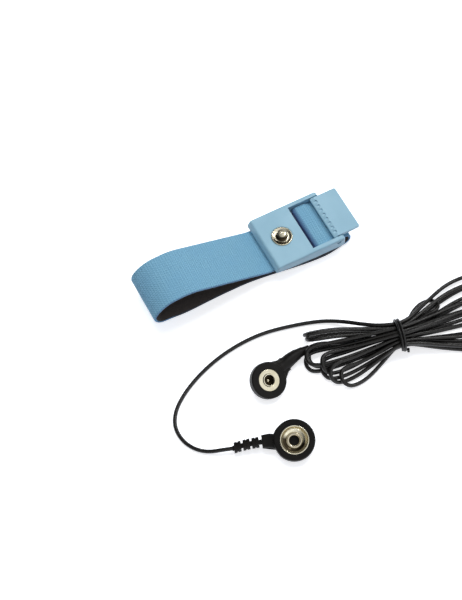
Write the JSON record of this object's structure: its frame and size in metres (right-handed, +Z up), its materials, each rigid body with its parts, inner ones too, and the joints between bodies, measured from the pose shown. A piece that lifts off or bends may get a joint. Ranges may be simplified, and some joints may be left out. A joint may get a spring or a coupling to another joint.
{
  "type": "esd wrist strap",
  "caption": "Elastic wristband with a clamping lever buckle and a snap stud, and its thin ground cord with two snap sockets, tied in a hank.",
  "frame": {"origin": "middle of the wristband's footprint, on the surface it lies on", "axes": "+X along the flattened band from its loop to the lever's tip, +Y across it away from the ground cord, +Z up"},
  "size_m": [0.1461, 0.0997, 0.0177],
  "materials": {
    "blue_plastic": "smooth moulded",
    "nickel": "bright nickel plate",
    "steel": "satin",
    "blue_web": "woven elastic",
    "dark_lining": "knit with conductive thread",
    "cord_jacket": "soft satin",
    "tie": "smooth",
    "black_cover": "satin moulded",
    "tinned_brass": "tinned",
    "resistor": "lacquer",
    "copper": "bare strand"
  },
  "bodies": {
    "wristband": {"buckle_frame": "blue_plastic", "snap_stud": "nickel", "stud_rivet": "nickel", "contact_plate": "steel", "elastic_web": "blue_web", "conductive_lining": "dark_lining"},
    "lever": {"clamp_lever": "blue_plastic"},
    "ground_cord": {"cord_lead": "cord_jacket", "cord_hank": "cord_jacket", "cord_tail": "cord_jacket", "cord_tie": "tie", "small_snap_cover": "black_cover", "small_snap_socket": "nickel", "small_snap_spring": "steel", "small_snap_rivet": "nickel", "small_snap_terminal": "tinned_brass", "limit_resistor": "resistor", "small_snap_conductor": "copper", "large_snap_cover": "black_cover", "large_snap_socket": "nickel", "large_snap_spring": "steel", "large_snap_rivet": "nickel", "large_snap_terminal": "tinned_brass", "large_snap_conductor": "copper"}
  },
  "joints": [
    {"name": "lever_hinge", "type": "hinge", "parent": "wristband", "child": "lever", "pos_m": [0.03517, 0, 0.0075], "axis": [0, -1, 0], "range_deg": [0, 90]},
    {"name": "ground_cord_lift", "type": "slide", "parent": "wristband", "child": "ground_cord", "axis": [0, 0, 1], "range_m": [0, 0.05]}
  ]
}
